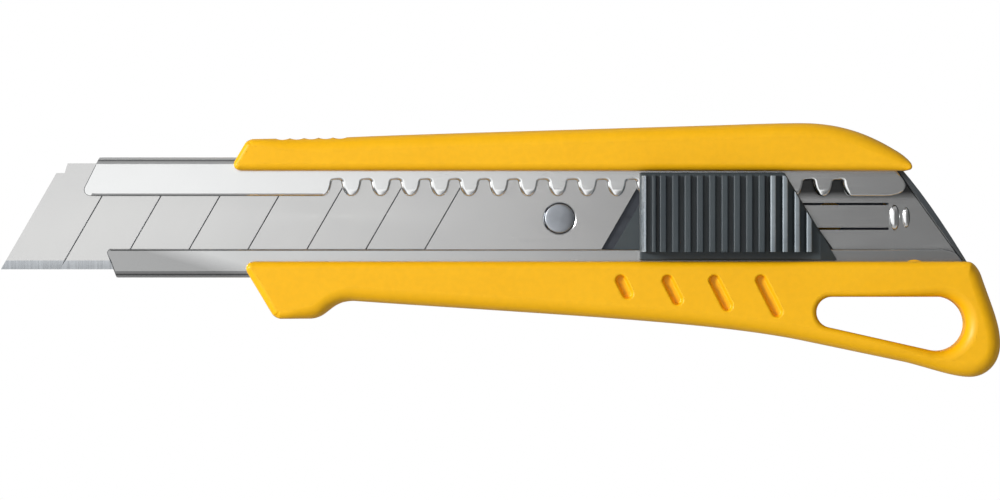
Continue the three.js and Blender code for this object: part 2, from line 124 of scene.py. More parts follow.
@dataclass
class Outline:
    """A closed outline in two drawn axes, in millimetres, made of lines and curves."""

    points: list[Point] = field(default_factory=list)
    spacing: float = 1.4

    def start(self, x: float, y: float) -> "Outline":
        """Puts the first point."""
        self.points.append((x, y))
        return self

    def line(self, x: float, y: float) -> "Outline":
        """Adds a straight stretch, with points along it.

        Args:
            x: The end's first value.
            y: The end's second value.

        Returns:
            The same outline, for the next stretch.
        """
        x0, y0 = self.points[-1]
        steps = max(1, round(math.hypot(x - x0, y - y0) / self.spacing))
        self.points += [(x0 + (x - x0) * i / steps, y0 + (y - y0) * i / steps) for i in range(1, steps + 1)]
        return self

    def curve(self, a: Point, b: Point, end: Point, steps: int = 16) -> "Outline":
        """Adds a cubic curve.

        Args:
            a: The first control point.
            b: The second control point.
            end: The last point.
            steps: The number of pieces.

        Returns:
            The same outline, for the next stretch.
        """
        start = self.points[-1]
        for i in range(1, steps + 1):
            t = i / steps
            weights = ((1 - t) ** 3, 3 * t * (1 - t) ** 2, 3 * t * t * (1 - t), t**3)
            self.points.append(
                tuple(sum(w * p[k] for w, p in zip(weights, (start, a, b, end))) for k in range(2))
            )
        return self

    def bend(self, corner: Point, end: Point, steps: int = 12) -> "Outline":
        """Adds a curve that starts and ends along the lines through a corner.

        Args:
            corner: Where the two lines meet.
            end: The last point.
            steps: The number of pieces.

        Returns:
            The same outline, for the next stretch.
        """
        start = self.points[-1]
        a = tuple(start[k] + (corner[k] - start[k]) * CORNER_PULL for k in range(2))
        b = tuple(end[k] + (corner[k] - end[k]) * CORNER_PULL for k in range(2))
        return self.curve(a, b, end, steps)

    def arc(self, centre: Point, radius: float, start: float, end: float, steps: int = 12) -> "Outline":
        """Adds an arc between two angles in degrees, with its first point.

        Args:
            centre: The arc's middle.
            radius: Its radius.
            start: Its first angle.
            end: Its last angle.
            steps: The number of pieces.

        Returns:
            The same outline, for the next stretch.
        """
        for i in range(steps + 1):
            angle = math.radians(start + (end - start) * i / steps)
            self.points.append((centre[0] + radius * math.cos(angle), centre[1] + radius * math.sin(angle)))
        return self

    def closed(self) -> list[Point]:
        """Tidies the outline into a ring.

        Returns:
            The points once round, anticlockwise, with no two alike.
        """
        kept = [p for p, q in zip(self.points, self.points[-1:] + self.points) if math.dist(p, q) > 1e-4]
        area = sum(p[0] * q[1] - q[0] * p[1] for p, q in zip(kept, kept[1:] + kept[:1]))
        return kept if area > 0 else kept[::-1]


def rounded_polygon(corners: Sequence[Point], radius: float, steps: int = 5) -> Outline:
    """Draws straight sides with rounded corners.

    Args:
        corners: The sharp corners, in order.
        radius: How far from each corner its curve starts, in millimetres.
        steps: The number of pieces in each corner.

    Returns:
        The outline, still open between its last point and its first.
    """
    outline = Outline()
    count = len(corners)
    for i, corner in enumerate(corners):
        ends = []
        for other in (corners[i - 1], corners[(i + 1) % count]):
            share = radius / math.dist(corner, other)
            ends.append(tuple(corner[k] + (other[k] - corner[k]) * share for k in range(2)))
        if outline.points:
            outline.line(*ends[0])
        else:
            outline.start(*ends[0])
        outline.bend(corner, ends[1], steps)
    return outline


def inward(points: Sequence[Point]) -> list[Point]:
    """Finds which way is inwards along an outline.

    Args:
        points: An anticlockwise outline.

    Returns:
        The inward direction at each point.
    """
    result = []
    for i in range(len(points)):
        before, after = points[i - 1], points[(i + 1) % len(points)]
        run = (after[0] - before[0], after[1] - before[1])
        length = math.hypot(*run) or 1.0
        result.append((-run[1] / length, run[0] / length))
    return result


def fillet_radii(points: Sequence[Point], wanted: Radius) -> list[float]:
    """Limits an edge radius so that its rounding fits inside the outline's own corners.

    Args:
        points: An anticlockwise outline.
        wanted: The radius wanted at a drawn point, in millimetres.

    Returns:
        The radius at each point.
    """
    limits = []
    for i, p in enumerate(points):
        a, b = points[i - 1], points[(i + 1) % len(points)]
        turn = (p[0] - a[0]) * (b[1] - p[1]) - (p[1] - a[1]) * (b[0] - p[0])
        sides = math.dist(a, p) * math.dist(p, b) * math.dist(a, b)
        limits.append(FILLET_SHARE * sides / (2 * turn) if turn > 1e-9 else math.inf)
    count = len(points)
    near = [min(limits[(i + k) % count] for k in range(-2, 3)) for i in range(count)]
    radii = [min(wanted(*p), limit) for p, limit in zip(points, near)]
    for _ in range(SMOOTH_PASSES):
        radii = [min((radii[i - 1] + radii[i] + radii[(i + 1) % count]) / 3, near[i]) for i in range(count)]
    return radii


def inset(points: Sequence[Point], distances: Sequence[float]) -> list[Point]:
    """Returns the outline moved inwards by its own distance at each point."""
    return [(x + nx * d, y + ny * d) for (x, y), (nx, ny), d in zip(points, inward(points), distances)]


# ---- Modelling ----


def deselect() -> None:
    """Deselects every object."""
    bpy.ops.object.select_all(action="DESELECT")


def activate(piece: Piece) -> None:
    """Makes one object the only selected one, and the active one.

    Args:
        piece: The object.
    """
    deselect()
    piece.select_set(True)
    bpy.context.view_layer.objects.active = piece


def edit(piece: Piece, *steps: Callable[[], object]) -> None:
    """Runs operators on the whole of a piece in edit mode.

    Args:
        piece: The piece.
        steps: The operators, each run with everything selected.
    """
    activate(piece)
    bpy.ops.object.mode_set(mode="EDIT")
    for step in steps:
        bpy.ops.mesh.select_all(action="SELECT")
        step()
    bpy.ops.object.mode_set(mode="OBJECT")


def modify(piece: Piece, kind: str, **settings: object) -> None:
    """Adds a modifier with the settings, and applies it.

    Args:
        piece: The piece.
        kind: The modifier's type.
        settings: The modifier's settings.
    """
    activate(piece)
    modifier = piece.modifiers.new(kind.lower(), kind)
    for name, value in settings.items():
        setattr(modifier, name, value)
    bpy.ops.object.modifier_apply(modifier=modifier.name)


def combine(piece: Piece, tool: Piece, operation: Operation) -> Piece:
    """Cuts, joins or keeps a piece with a tool, which is used up.

    Args:
        piece: The piece that stays.
        tool: The other piece.
        operation: What is done with the tool.

    Returns:
        The piece that stays.
    """
    modify(piece, "BOOLEAN", object=tool, operation=operation.value, solver="EXACT")
    bpy.data.objects.remove(tool)
    return piece


def skin(name: str, loops: Sequence[Sequence[Vector]]) -> Piece:
    """Makes a closed solid by drawing a grid round a stack of loops and filling both ends.

    Args:
        name: The piece's name.
        loops: Loops of equally many points, from one end to the other.

    Returns:
        The new piece, with its faces pointing out.
    """
    around = len(loops[0])
    deselect()
    bpy.ops.mesh.primitive_grid_add(x_subdivisions=around, y_subdivisions=len(loops) - 1, size=1)
    piece = bpy.context.object
    piece.name = piece.data.name = name
    places = [loop[i % around] for loop in loops for i in range(around + 1)]
    for vertex, place in zip(piece.data.vertices, places):
        vertex.co = place
    edit(piece, lambda: bpy.ops.mesh.remove_doubles(threshold=MERGE))
    bpy.ops.object.mode_set(mode="EDIT")
    bpy.ops.mesh.select_mode(type="EDGE")
    bpy.ops.mesh.select_all(action="DESELECT")
    bpy.ops.mesh.select_non_manifold()
    bpy.ops.mesh.fill_holes(sides=0)
    bpy.ops.mesh.select_all(action="SELECT")
    bpy.ops.mesh.normals_make_consistent(inside=False)
    bpy.ops.object.mode_set(mode="OBJECT")
    return piece


def soft_prism(
    name: str,
    outline: Outline,
    low: float,
    high: float,
    top: Radius | None = None,
    bottom: Radius | None = None,
    steps: int = 7,
) -> Piece:
    """Makes a prism whose end edges are rounded, by a radius that may change along the outline.

    Args:
        name: The piece's name.
        outline: The outline, in millimetres.
        low: The lower end's height.
        high: The upper end's height.
        top: The upper edge's radius at a drawn point, or None for a sharp edge.
        bottom: The lower edge's radius, or None for a sharp edge.
        steps: The number of pieces in each rounding.

    Returns:
        The new piece.
    """
    points = outline.closed()
    loops = []
    angles = [math.pi / 2 * i / steps for i in range(steps + 1)]
    if bottom:
        radii = fillet_radii(points, bottom)
        for angle in reversed(angles):
            ring = inset(points, [r * (1 - math.cos(angle)) for r in radii])
            loops.append([at(*p, low + r * (1 - math.sin(angle))) for p, r in zip(ring, radii)])
    else:
        loops.append([at(*p, low) for p in points])
    if top:
        radii = fillet_radii(points, top)
        for angle in angles:
            ring = inset(points, [r * (1 - math.cos(angle)) for r in radii])
            loops.append([at(*p, high - r * (1 - math.sin(angle))) for p, r in zip(ring, radii)])
    else:
        loops.append([at(*p, high) for p in points])
    return skin(name, loops)


def flare(outline: Outline, radius: Radius, face: float, way: int, steps: int = 7) -> list[list[Vector]]:
    """Draws a cutter's end that widens as it leaves a face, which rounds the hole's edge.

    Args:
        outline: The hole's outline, in millimetres.
        radius: The rounding's radius at a drawn point.
        face: The face's height.
        way: 1 if the cutter leaves the piece upwards, -1 if downwards.
        steps: The number of pieces in the rounding.

    Returns:
        The loops, from inside the piece to outside it.
    """
    points = outline.closed()
    radii = [radius(*p) for p in points]
    loops = []
    for i in range(steps + 1):
        angle = math.pi / 2 * i / steps
        ring = inset(points, [r * (math.cos(angle) - 1) for r in radii])
        loops.append([at(*p, face - way * r * (1 - math.sin(angle))) for p, r in zip(ring, radii)])
    return [*loops, [at(*p, face + way) for p in ring]]


def bowl(outline: Outline, radius: float, floor: float, way: int, steps: int = 5) -> list[list[Vector]]:
    """Draws a cutter's blind end, with its edge rounded.

    Args:
        outline: The hole's outline, in millimetres.
        radius: The rounding's radius.
        floor: The blind end's height.
        way: 1 if the rest of the cutter is above the blind end, -1 if below.
        steps: The number of pieces in the rounding.

    Returns:
        The loops, from the blind end towards the face.
    """
    points = outline.closed()
    loops = []
    for i in range(steps + 1):
        angle = math.pi / 2 * i / steps
        ring = inset(points, [radius * (1 - math.sin(angle))] * len(points))
        loops.append([at(*p, floor + way * radius * (1 - math.cos(angle))) for p in ring])
    return loops


def turned(name: str, profile: Sequence[Point], x: float, y: float, sides: int = 64) -> Piece:
    """Makes a round piece on an upright axis from pairs of radius and height."""
    ring = [(math.cos(2 * math.pi * i / sides), math.sin(2 * math.pi * i / sides)) for i in range(sides)]
    return skin(name, [[at(x + r * c, y + r * s, z) for c, s in ring] for r, z in profile])


def brick(name: str, low: Triple, high: Triple) -> Piece:
    """Makes a box between two drawn corners.

    Args:
        name: The piece's name.
        low: The lowest corner, in millimetres.
        high: The highest corner.

    Returns:
        The new piece.
    """
    deselect()
    a, b = at(*low), at(*high)
    bpy.ops.mesh.primitive_cube_add(size=1, location=(a + b) / 2, scale=b - a)
    piece = bpy.context.object
    piece.name = piece.data.name = name
    bpy.ops.object.transform_apply(location=True, rotation=True, scale=True)
    return piece


def soften(piece: Piece, width: float, segments: int, angle: float, **settings: object) -> None:
    """Bevels a piece's sharp edges.

    Args:
        piece: The piece.
        width: The bevel's width, in millimetres.
        segments: The number of pieces in each bevel.
        angle: The sharpest bend, in degrees, that stays as it is.
        settings: The modifier's other settings.
    """
    modify(
        piece,
        "BEVEL",
        width=width * MM,
        segments=segments,
        limit_method="ANGLE",
        angle_limit=math.radians(angle),
        use_clamp_overlap=True,
        **settings,
    )


def refined(node: str, name: str, bevel: float = 0.0) -> Piece:
    """Makes a finer copy of a CAD node: one merged skin, with its sharp edges softened.

    Args:
        node: The CAD node.
        name: The new piece's name.
        bevel: The width of the softened edges, in millimetres. Zero leaves them as they are.

    Returns:
        The new piece.
    """
    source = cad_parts[node]
    piece = bpy.data.objects.new(name, source.data.copy())
    piece.data.name = name
    piece.data.materials.clear()
    bpy.context.scene.collection.objects.link(piece)
    edit(
        piece,
        lambda: bpy.ops.mesh.remove_doubles(threshold=MERGE),
        lambda: bpy.ops.mesh.customdata_custom_splitnormals_clear(),
        lambda: bpy.ops.mesh.dissolve_limited(angle_limit=FLAT),
    )
    if bevel:
        soften(piece, bevel, segments=3, angle=35, miter_outer="MITER_ARC")
    return piece


def smooth(piece: Piece, angle: float = 30.0) -> None:
    """Shades a piece smooth, and keeps its flat faces flat.

    Args:
        piece: The piece.
        angle: The sharpest bend, in degrees, that is shaded smooth.
    """
    activate(piece)
    bpy.ops.object.shade_smooth_by_angle(angle=math.radians(angle))
    modify(piece, "WEIGHTED_NORMAL", keep_sharp=True, weight=80)


def fit(piece: Piece, body: Body, material: Material, nodes: Iterable[str]) -> Piece:
    """Hands a finished piece over to the frame.

    Args:
        piece: The finished piece.
        body: The body that it rides on.
        material: Its finish.
        nodes: The CAD nodes that it stands for.

    Returns:
        The same piece.
    """
    piece.data.materials.clear()
    piece.data.materials.append(material)
    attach(piece, body.value)
    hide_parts(*nodes)
    log.info("%s: %d faces, rides on %s", piece.name, len(piece.data.polygons), body.value)
    return piece


# ---- Finishes ----


def linear(red: int, green: int, blue: int) -> Colour:
    """Returns a display colour of 0 to 255 as linear light."""
    parts = [c / 255 for c in (red, green, blue)]
    return (*[p / 12.92 if p <= 0.04045 else ((p + 0.055) / 1.055) ** 2.4 for p in parts], 1.0)


class Shader:
    """A material's node tree, with short ways to add nodes."""

    def __init__(self, name: str) -> None:
        """Starts a material with a principled surface.

        Args:
            name: The material's name.
        """
        self.material = bpy.data.materials.new(name)
        self.material.use_nodes = True
        self.nodes = self.material.node_tree.nodes
        self.links = self.material.node_tree.links
        self.nodes.clear()
        self.surface = self.nodes.new("ShaderNodeBsdfPrincipled")
        output = self.nodes.new("ShaderNodeOutputMaterial")
        self.links.new(self.surface.outputs["BSDF"], output.inputs["Surface"])
        self.place = self.nodes.new("ShaderNodeTexCoord").outputs["Object"]

    def set(self, **values: object) -> None:
        """Sets the surface's own sockets. An underscore stands for a space."""
        for name, value in values.items():
            self.surface.inputs[name.replace("_", " ")].default_value = value

    def feed(self, socket: Socket, name: str) -> None:
        """Links a socket to one of the surface's inputs."""
        self.links.new(socket, self.surface.inputs[name])

    def mapped(self, scale: Triple, turn: float = 0.0) -> Socket:
        """Adds object coordinates that are turned about z and then stretched.

        Args:
            scale: The stretch along each axis.
            turn: The turn in degrees.

        Returns:
            The coordinates.
        """
        node = self.nodes.new("ShaderNodeMapping")
        node.vector_type = "TEXTURE"
        node.inputs["Rotation"].default_value = (0, 0, math.radians(turn))
        node.inputs["Scale"].default_value = [1 / s for s in scale]
        self.links.new(self.place, node.inputs["Vector"])
        return node.outputs["Vector"]

    def noise(
        self, scale: float, stretch: Triple = (1, 1, 1), detail: float = 3.0, turn: float = 0.0
    ) -> Socket:
        """Adds a noise pattern.

        Args:
            scale: Waves a metre.
            stretch: How much finer it is along each axis.
            detail: How many finer layers it has.
            turn: Its turn about z in degrees.

        Returns:
            A value of 0 to 1.
        """
        node = self.nodes.new("ShaderNodeTexNoise")
        node.inputs["Scale"].default_value = scale
        node.inputs["Detail"].default_value = detail
        node.inputs["Roughness"].default_value = 0.55
        self.links.new(self.mapped(stretch, turn), node.inputs["Vector"])
        return node.outputs["Fac"]

    def spread(self, value: Socket, low: float, high: float) -> Socket:
        """Stretches a noise value's middle, from 0.3 to 0.7, over another range.

        Args:
            value: The noise.
            low: What 0.3 becomes.
            high: What 0.7 becomes.

        Returns:
            The new value.
        """
        node = self.nodes.new("ShaderNodeMapRange")
        for name, number in (("From Min", 0.3), ("From Max", 0.7), ("To Min", low), ("To Max", high)):
            node.inputs[name].default_value = number
        self.links.new(value, node.inputs["Value"])
        return node.outputs["Result"]

    def blend(self, value: Socket, stops: Sequence[tuple[float, Colour]]) -> Socket:
        """Picks a colour by a value.

        Args:
            value: The value.
            stops: Places and their colours, in order.

        Returns:
            The colour.
        """
        node = self.nodes.new("ShaderNodeValToRGB")
        ramp = node.color_ramp
        while len(ramp.elements) < len(stops):
            ramp.elements.new(0.5)
        for element, (position, colour) in zip(ramp.elements, stops):
            element.position = position
            element.color = colour
        self.links.new(value, node.inputs["Fac"])
        return node.outputs["Color"]

    def multiply(self, one: Socket, two: Socket) -> Socket:
        """Multiplies two colours.

        Args:
            one: The first colour.
            two: The second colour.

        Returns:
            Their product.
        """
        node = self.nodes.new("ShaderNodeMix")
        node.data_type = "RGBA"
        node.blend_type = "MULTIPLY"
        node.inputs["Factor"].default_value = 1.0
        self.links.new(one, node.inputs["A"])
        self.links.new(two, node.inputs["B"])
        return node.outputs["Result"]

    def ramp(self, axis: str, low: Triple, high: Triple, turn: float = 0.0) -> Socket:
        """Adds a value that grows between two drawn points along one axis.

        Args:
            axis: X, Y or Z.
            low: Where the value is 0, in millimetres.
            high: Where it is 1.
            turn: How far the axis is first turned about z, in degrees.

        Returns:
            The value, held at 0 and 1 outside the two points.
        """
        parts = self.nodes.new("ShaderNodeSeparateXYZ")
        self.links.new(self.mapped((1, 1, 1), turn), parts.inputs[0])
        node = self.nodes.new("ShaderNodeMapRange")
        back = Matrix.Rotation(-math.radians(turn), 3, "Z")
        for name, point in (("From Min", low), ("From Max", high)):
            node.inputs[name].default_value = (back @ at(*point))["XYZ".index(axis)]
        self.links.new(parts.outputs[axis], node.inputs["Value"])
        return node.outputs["Result"]

    def shade(self, colour: Socket, mask: Socket, tone: float) -> Socket:
        """Returns a colour darkened by a tone where the mask is 1."""
        return self.multiply(colour, self.blend(mask, [(0.0, (1, 1, 1, 1)), (1.0, (tone, tone, tone, 1))]))

    def product(self, one: Socket, two: Socket) -> Socket:
        """Multiplies two values.

        Args:
            one: The first value.
            two: The second value.

        Returns:
            Their product.
        """
        node = self.nodes.new("ShaderNodeMath")
        node.operation = "MULTIPLY"
        self.links.new(one, node.inputs[0])
        self.links.new(two, node.inputs[1])
        return node.outputs[0]

    def bump(self, *layers: tuple[Socket, float]) -> None:
        """Raises the surface by layers of relief.

        Args:
            layers: Pairs of height value and depth in millimetres.
        """
        normal = None
        for height, depth in layers:
            node = self.nodes.new("ShaderNodeBump")
            node.inputs["Strength"].default_value = 1.0
            node.inputs["Distance"].default_value = depth * MM
            self.links.new(height, node.inputs["Height"])
            if normal:
                self.links.new(normal, node.inputs["Normal"])
            normal = node.outputs["Normal"]
        self.feed(normal, "Normal")


@dataclass(frozen=True)
class MouldedPlastic:
    """An injection-moulded plastic with a fine skin and slow changes of tone."""

    name: str
    tone: Tone
    deep: Tone
    rough: Point
    tone_waves: float = 55.0  # all waves are so many a metre
    speck_waves: float = 900.0
    gloss_waves: float = 420.0
    ripple_waves: float = 190.0
    grain: float = 2600.0
    grain_depth: float = 0.004  # millimetres
    shine: float = 0.5

    def material(self) -> Material:
        """Makes the material.

        Returns:
            The finished material.
        """
        s = Shader(self.name)
        cloud = s.noise(self.tone_waves, detail=4.0)
        speck = s.noise(self.speck_waves, detail=2.0)
        base = s.blend(cloud, [(0.32, linear(*self.deep)), (0.62, linear(*self.tone))])
        light = s.blend(speck, [(0.35, (0.965, 0.965, 0.965, 1)), (0.65, (1, 1, 1, 1))])
        s.feed(s.multiply(base, light), "Base Color")
        s.feed(s.spread(s.noise(self.gloss_waves, detail=5.0), *self.rough), "Roughness")
        s.set(IOR=1.5, Specular_IOR_Level=self.shine)
        ripple = s.noise(self.ripple_waves)
        s.bump((s.noise(self.grain, detail=2.0), self.grain_depth), (ripple, self.grain_depth * 3))
        return s.material


@dataclass(frozen=True)
class Steel:
    """Steel with a grain that runs one way, fine scratches and slow changes of tone."""

    name: str
    tone: Tone
    deep: Tone
    rough: Point
    grain: Triple = (70, 5200, 5200)  # waves a metre along each axis
    tone_waves: float = 38.0
    depth: float = 0.0003  # millimetres
    contrast: float = 0.04  # how much darker the grain's dark lines are
    scratch_turn: float = 7.0  # degrees between the grain and the scratches
    folded: bool = False  # whether it's the channel's sheet, which gets painted shade under its toothed lip and on its lower lip
    painted_shade_tones: Triple = (0.12, 0.76, 0.6)  # painted shade: under the toothed lip, on the lower lip, at that lip's front

    def paint_fold_shade(self, s: Shader, colour: Socket) -> Socket:
        """Paints shade into the channel's colour where light falls less.

        Args:
            s: The material's nodes.
            colour: The steel's colour.

        Returns:
            The colour with painted shade under the toothed lip, along the lower lip and at that lip's front.
        """
        # painted shade: darker under the toothed lip, along the lower lip and at that lip's front
        under = s.product(s.ramp("Y", (0, 3.0, 0), (0, 4.4, 0)), s.ramp("Z", (0, 0, 5.6), (0, 0, 5.2)))
        lower_lip = s.product(s.ramp("Y", (0, -5.0, 0), (0, -5.6, 0)), s.ramp("Z", (0, 0, 5.0), (0, 0, 5.4)))
        front = s.product(lower_lip, s.ramp("X", (33, -5.43, 0), (23, -5.43, 0), 74))
        for mask, tone in zip((under, lower_lip, front), self.painted_shade_tones):
            colour = s.shade(colour, mask, tone)
        return colour

    def material(self) -> Material:
        """Makes the material.

        Returns:
            The finished material.
        """
        s = Shader(self.name)
        streak = s.noise(1.0, self.grain, detail=5.0)
        cloud = s.noise(self.tone_waves, detail=4.0)
        base = s.blend(cloud, [(0.3, linear(*self.deep)), (0.66, linear(*self.tone))])
        low = 1 - self.contrast
        lines = s.blend(streak, [(0.36, (low, low, low, 1)), (0.62, (1, 1, 1, 1))])
        colour = s.multiply(base, lines)
        s.feed(self.paint_fold_shade(s, colour) if self.folded else colour, "Base Color")
        s.feed(s.spread(streak, *self.rough), "Roughness")
        s.set(Metallic=1.0, Anisotropic=0.3)
        scratches = s.noise(1.0, tuple(g * 0.4 for g in self.grain), detail=2.0, turn=self.scratch_turn)
        s.bump((streak, self.depth), (scratches, self.depth * 1.5))
        return s.material


# ---- Handle ----


@dataclass
class Handle:
    """The yellow moulding: two grips, the back between them, the finger stop and the hanging loop."""

    thick: float = 12.0
    back_top: float = 7.6
    grips_from: float = 5.0  # the grips run down into the back as far as this
    inner: Point = (-7.47, 7.9)  # inner edges of the lower and upper grips
    slot: Point = (3.7, 7.65)  # floor and roof of the channel's slot
    slot_half: float = 10.35
    magazine: Triple = (45.5, 9.25, 1.8)  # front, half width, floor
    hole: tuple[Triple, Triple] = ((140.9, -16.05, 2.6), (158.9, -18.05, 4.6))  # x, y, radius of each end
    hole_rim: Triple = (1.0, 1.3, 14.0)  # edge radius at x = 150, and its growth over a length behind that
    dents: int = 4
    dent_first: Point = (105.2, -10.65)
    dent_pitch: float = 7.9
    dent_run: Point = (2.5, 1.15)  # the first one's length, and what each one gains
    dent_half: float = 0.85
    dent_lean: float = -63.0  # degrees
    dent_depth: float = 1.2
    dent_edges: Point = (0.4, 0.38)  # roundings: of the floor, and of the rim
    back_dent_depth: float = 0.75
    back_dent_edges: Point = (0.2, 0.3)
    scallops: int = 5
    scallop_first: float = 47.9
    scallop_pitch: float = 2.43
    scallop_radius: float = 3.08
    scallop_line: Triple = (43.9, 16.13, 0.02)  # the axes' line: x, y and how far y rises for each mm of x
    nib: Point = (155.0, 2.3)  # x, and how far its axis lies outside the lower grip's inner edge
    nib_profile: tuple[Point, ...] = ((2.6, 7.65), (2.6, 8), (2.4, 8.2))
    opening_edge: float = 1.3  # edge radii: along the opening, round the nose, and outside at the mouth
    nose_edge: float = 1.7
    outer_edge: float = 1.4
    outer_growth: Triple = (44.0, 6.0, 1.0)  # where the outer radius starts to grow, the length, the growth
    back_edges: Point = (0.7, 2.2)  # the back's edge radii: across the mouth and the butt, and outside

    def upper_run(self) -> Outline:
        """Draws the upper grip.

        Returns:
            Its outline, from its inner front corner round to the end of its nose.
        """
        edge = self.inner[1]
        o = Outline().start(41.2, edge).bend((38.9, edge), (39.95, 9.7)).line(41.6, 12.5)
        o.bend((42.05, 13.22), (43.0, 13.26)).line(59.3, 13.6)
        o.curve((68, 13.98), (80, 14.35), (118.7, 15.52), 40)
        o.curve((126, 15.74), (131, 15.97), (135.7, 15.97))
        o.curve((141.4, 15.97), (146.2, 14.75), (151.5, 11.5), 20)
        return o.curve((154.4, 9.85), (155.6, edge), (153.2, edge))

    def lower_run(self) -> Outline:
        """Draws the lower grip.

        Returns:
            Its outline, from its inner front corner round to its inner rear corner.
        """
        edge = self.inner[0]
        o = Outline().start(43.4, edge).bend((41.0, edge), (42.0, -9.4)).line(46.15, -16.3)
        o.bend((46.68, -17.16), (47.7, -17.18)).line(52.6, -17.15)
        o.curve((55.7, -17.1), (55.7, -14.2), (60, -14.14), 24)
        o.curve((72, -15.0), (88, -15.95), (101.7, -16.95), 30)
        o.curve((113, -17.8), (126, -18.85), (135.7, -20.8), 26).line(153, -24.42)
        o.curve((156.9, -25.28), (161.2, -27.02), (164.3, -27.02))
        o.curve((167.2, -27.02), (169.48, -24.7), (169.48, -21.4))
        o.curve((169.48, -18), (167.9, -14.7), (166.3, -10))
        return o.bend((165.5, edge), (163.9, edge))

    def back_outline(self) -> Outline:
        """Draws the back.

        Returns:
            Both grips' outer edges, joined across the mouth and the butt.
        """
        low, high = self.inner
        upper = [p for p in self.upper_run().points if p[1] > high + 0.5 or p[0] > 100]
        lower = [p for p in self.lower_run().points if p[1] < low - 0.5 or p[0] > 100]
        outline = Outline(upper).line(*lower[-1])
        outline.points += reversed(lower)
        return outline.line(*upper[0])

    def hang_hole(self) -> Outline:
        """Draws the hanging hole.

        Returns:
            Its outline: two round ends joined by straight sides.
        """
        (fx, fy, fr), (rx, ry, rr) = self.hole
        lean = math.degrees(math.atan2(ry - fy, rx - fx))
        spread = math.degrees(math.asin((rr - fr) / math.hypot(rx - fx, ry - fy)))
        upper, lower = lean + 90 + spread, lean - 90 - spread
        o = Outline().arc((fx, fy), fr, upper, lower + 360, 24)
        o.line(rx + rr * math.cos(math.radians(lower)), ry + rr * math.sin(math.radians(lower)))
        o.arc((rx, ry), rr, lower, upper, 40)
        return o.line(*o.points[0])

    def dent(self, index: int) -> Outline:
        """Draws one sunk slot. Each one towards the butt is longer than the last.

        Args:
            index: The slot's number, from the mouth.

        Returns:
            Its outline.
        """
        lean, half = self.dent_lean, self.dent_half
        run = self.dent_run[0] + self.dent_run[1] * index
        x, y = self.dent_first[0] + self.dent_pitch * index, self.dent_first[1]
        end = (x + run * math.cos(math.radians(lean)), y + run * math.sin(math.radians(lean)))
        outline = Outline().arc((x, y), half, lean + 90, lean + 270, 14)
        return outline.arc(end, half, lean + 270, lean + 450, 14)

    def edge_radius(self, x: float, y: float) -> float:
        """Says how soft the grips' edge is: soft outside, tighter along the opening and round the nose.

        Args:
            x: The drawn x, in millimetres.
            y: The drawn y, in millimetres.

        Returns:
            The edge radius there.
        """
        if self.inner[0] - 0.3 < y < self.inner[1] + 0.3:
            return self.opening_edge
        if x > 151 and y > 0:
            return self.nose_edge
        start, length, growth = self.outer_growth
        return self.outer_edge + min(growth, max(0.0, (x - start) / length))

    def back_radius(self, x: float, y: float) -> float:
        """Returns the back's edge radius: soft outside, small across the mouth and the butt."""
        across, outside = self.back_edges
        return across if self.inner[0] - 0.6 < y < self.inner[1] + 0.6 else outside

    def rim_radius(self, x: float, y: float) -> float:
        """Returns the hanging hole's edge radius, which grows towards the butt."""
        radius, growth, length = self.hole_rim
        return radius + growth * max(0, (x - 150) / length)

    def dent_cutter(self, index: int, edges: Point, floor: float, face: float, way: int) -> Piece:
        """Makes what cuts one sunk slot.

        Args:
            index: The slot's number, from the mouth.
            edges: The roundings of its floor and of its rim.
            floor: The floor's height.
            face: The height of the face that it is sunk in.
            way: 1 if it opens upwards, -1 if downwards.

        Returns:
            The cutter.
        """
        dent = self.dent(index)
        sink, rim = edges
        return skin("dent", bowl(dent, sink, floor, way) + flare(dent, lambda x, y: rim, face, way))

    def cutters(self) -> list[Piece]:
        """Makes what is cut from the moulding.

        Returns:
            The slot, the magazine, the hanging hole, the dents and the scallops.
        """
        front, half, floor = self.magazine
        slot_low, slot_high = self.slot
        hole = self.hang_hole()
        cutters = [
            brick("slot", (0, -self.slot_half, slot_low), (200, self.slot_half, slot_high)),
            brick("magazine", (front, -half, floor), (201, half, slot_low + 0.5)),
            skin("hole", [
                *reversed(flare(hole, self.rim_radius, 0, -1)),
                *flare(hole, self.rim_radius, self.thick, 1),
            ]),
        ]
        for i in range(self.dents):
            cutters.append(self.dent_cutter(i, self.dent_edges, self.thick - self.dent_depth, self.thick, 1))
            cutters.append(self.dent_cutter(i, self.back_dent_edges, self.back_dent_depth, 0, -1))
        x0, y0, rise = self.scallop_line
        ends = [(self.scallop_radius, z) for z in (-1, self.thick + 1)]
        for i in range(self.scallops):
            x = self.scallop_first + self.scallop_pitch * i
            cutters.append(turned(f"scallop_{i}", ends, x, y0 + rise * (x - x0), FINE))
        return cutters

    def build(self, finish: Material) -> Piece:
        """Makes the moulding.

        Args:
            finish: The finish.

        Returns:
            The fitted piece.
        """
        body = soft_prism("handle", self.back_outline(), 0, self.back_top, bottom=self.back_radius)
        for name, run in (("upper_grip", self.upper_run()), ("lower_grip", self.lower_run())):
            run.line(*run.points[0])
            grip = soft_prism(name, run, self.grips_from, self.thick, top=self.edge_radius)
            combine(body, grip, Operation.JOIN)
        x, outside = self.nib
        nib = turned("nib", self.nib_profile, x, self.inner[0] - outside, FINE)
        combine(body, nib, Operation.JOIN)
        for cutter in self.cutters():
            combine(body, cutter, Operation.CUT)
        smooth(body, 32)
        return fit(body, Body.HANDLE, finish, ["handle_body"])


# ---- Steel ----


